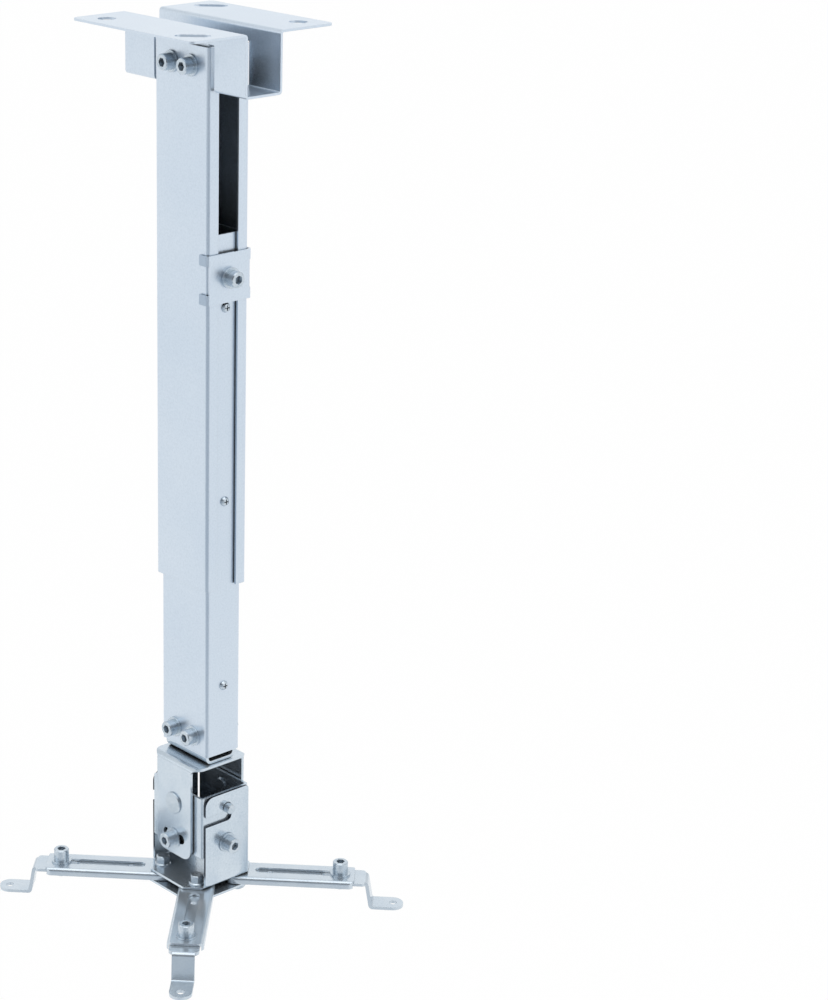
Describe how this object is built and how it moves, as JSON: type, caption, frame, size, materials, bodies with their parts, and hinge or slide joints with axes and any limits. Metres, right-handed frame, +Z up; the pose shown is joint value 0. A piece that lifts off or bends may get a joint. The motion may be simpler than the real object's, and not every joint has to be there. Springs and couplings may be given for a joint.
{
  "type": "projector ceiling mount",
  "caption": "Telescopic ceiling mount for a projector: folded bracket, two-part rectangular column, swivel and tilt head, and swinging arms with sliding extension strips",
  "frame": {"origin": "on the column's axis in the plane of the ceiling, midway between the ceiling holes", "axes": "X along the flanges of the ceiling bracket and across the long side of the column, Y across the two flanges, Z up at the ceiling"},
  "size_m": [0.1944, 0.1944, 0.579],
  "materials": {
    "satin_silver_coat": "satin silver powder coat",
    "zinc_plated_sheet": "smooth zinc plating",
    "bright_zinc_fasteners": "bright zinc plating"
  },
  "bodies": {
    "ceiling": {"ceiling_bracket": "satin_silver_coat", "outer_tube": "satin_silver_coat", "column_top_bolts": "bright_zinc_fasteners", "column_top_washers": "bright_zinc_fasteners", "column_top_nuts": "bright_zinc_fasteners"},
    "column": {"inner_tube": "satin_silver_coat", "guide_screws": "bright_zinc_fasteners", "clamp_plate": "satin_silver_coat", "clamp_screw": "bright_zinc_fasteners", "clamp_washer": "bright_zinc_fasteners", "clamp_nut": "bright_zinc_fasteners", "swivel_adapter": "satin_silver_coat", "adapter_bolts": "bright_zinc_fasteners", "adapter_washers": "bright_zinc_fasteners", "adapter_nuts": "bright_zinc_fasteners"},
    "swivel": {"tilt_frame": "satin_silver_coat", "swivel_bolt": "bright_zinc_fasteners", "swivel_washer": "bright_zinc_fasteners", "swivel_nut": "bright_zinc_fasteners"},
    "gimbal": {"gimbal_box": "satin_silver_coat", "tilt_pivot_rivets": "bright_zinc_fasteners", "tilt_lock_screws": "bright_zinc_fasteners", "tilt_lock_washers": "bright_zinc_fasteners", "tilt_lock_spring_washers": "bright_zinc_fasteners", "tilt_lock_nuts": "bright_zinc_fasteners", "roll_lock_screws": "bright_zinc_fasteners", "roll_lock_washers": "bright_zinc_fasteners", "roll_lock_spring_washers": "bright_zinc_fasteners", "roll_lock_nuts": "bright_zinc_fasteners", "hook_studs": "bright_zinc_fasteners"},
    "tray": {"cradle": "satin_silver_coat", "base_plate": "zinc_plated_sheet", "arm_pivot_bolts": "bright_zinc_fasteners", "arm_pivot_nuts": "bright_zinc_fasteners"},
    "front_arm": {"front_arm": "zinc_plated_sheet", "front_arm_clamp_screw": "bright_zinc_fasteners", "front_arm_clamp_washer": "bright_zinc_fasteners", "front_arm_clamp_nut": "bright_zinc_fasteners"},
    "front_strip": {"front_strip": "zinc_plated_sheet"},
    "right_arm": {"right_arm": "zinc_plated_sheet", "right_arm_clamp_screw": "bright_zinc_fasteners", "right_arm_clamp_washer": "bright_zinc_fasteners", "right_arm_clamp_nut": "bright_zinc_fasteners"},
    "right_strip": {"right_strip": "zinc_plated_sheet"},
    "back_arm": {"back_arm": "zinc_plated_sheet", "back_arm_clamp_screw": "bright_zinc_fasteners", "back_arm_clamp_washer": "bright_zinc_fasteners", "back_arm_clamp_nut": "bright_zinc_fasteners"},
    "back_strip": {"back_strip": "zinc_plated_sheet"},
    "left_arm": {"left_arm": "zinc_plated_sheet", "left_arm_clamp_screw": "bright_zinc_fasteners", "left_arm_clamp_washer": "bright_zinc_fasteners", "left_arm_clamp_nut": "bright_zinc_fasteners"},
    "left_strip": {"left_strip": "zinc_plated_sheet"}
  },
  "joints": [
    {"name": "column_height", "type": "slide", "parent": "ceiling", "child": "column", "axis": [0, 0, 1], "range_m": [-0.07, 0.087]},
    {"name": "swivel_turn", "type": "hinge", "parent": "column", "child": "swivel", "pos_m": [0, 0, -0.4729], "axis": [0, 0, 1], "continuous": true},
    {"name": "head_tilt", "type": "hinge", "parent": "swivel", "child": "gimbal", "pos_m": [0, 0, -0.5032], "axis": [0, 1, 0], "range_deg": [-15, 15]},
    {"name": "head_roll", "type": "hinge", "parent": "gimbal", "child": "tray", "pos_m": [0, 0, -0.5032], "axis": [1, 0, 0], "range_deg": [-8, 8]},
    {"name": "front_arm_swing", "type": "hinge", "parent": "tray", "child": "front_arm", "pos_m": [0.0175, -0.0175, -0.5577], "axis": [0, 0, 1], "range_deg": [-45, 45]},
    {"name": "front_strip_reach", "type": "slide", "parent": "front_arm", "child": "front_strip", "axis": [0.7071, -0.7071, 0], "range_m": [0, 0.009]},
    {"name": "right_arm_swing", "type": "hinge", "parent": "tray", "child": "right_arm", "pos_m": [0.0175, 0.0175, -0.5577], "axis": [0, 0, 1], "range_deg": [-45, 45]},
    {"name": "right_strip_reach", "type": "slide", "parent": "right_arm", "child": "right_strip", "axis": [0.7071, 0.7071, 0], "range_m": [0, 0.009]},
    {"name": "back_arm_swing", "type": "hinge", "parent": "tray", "child": "back_arm", "pos_m": [-0.0175, 0.0175, -0.5577], "axis": [0, 0, 1], "range_deg": [-45, 45]},
    {"name": "back_strip_reach", "type": "slide", "parent": "back_arm", "child": "back_strip", "axis": [-0.7071, 0.7071, 0], "range_m": [0, 0.009]},
    {"name": "left_arm_swing", "type": "hinge", "parent": "tray", "child": "left_arm", "pos_m": [-0.0175, -0.0175, -0.5577], "axis": [0, 0, 1], "range_deg": [-45, 45]},
    {"name": "left_strip_reach", "type": "slide", "parent": "left_arm", "child": "left_strip", "axis": [-0.7071, -0.7071, 0], "range_m": [0, 0.009]}
  ]
}
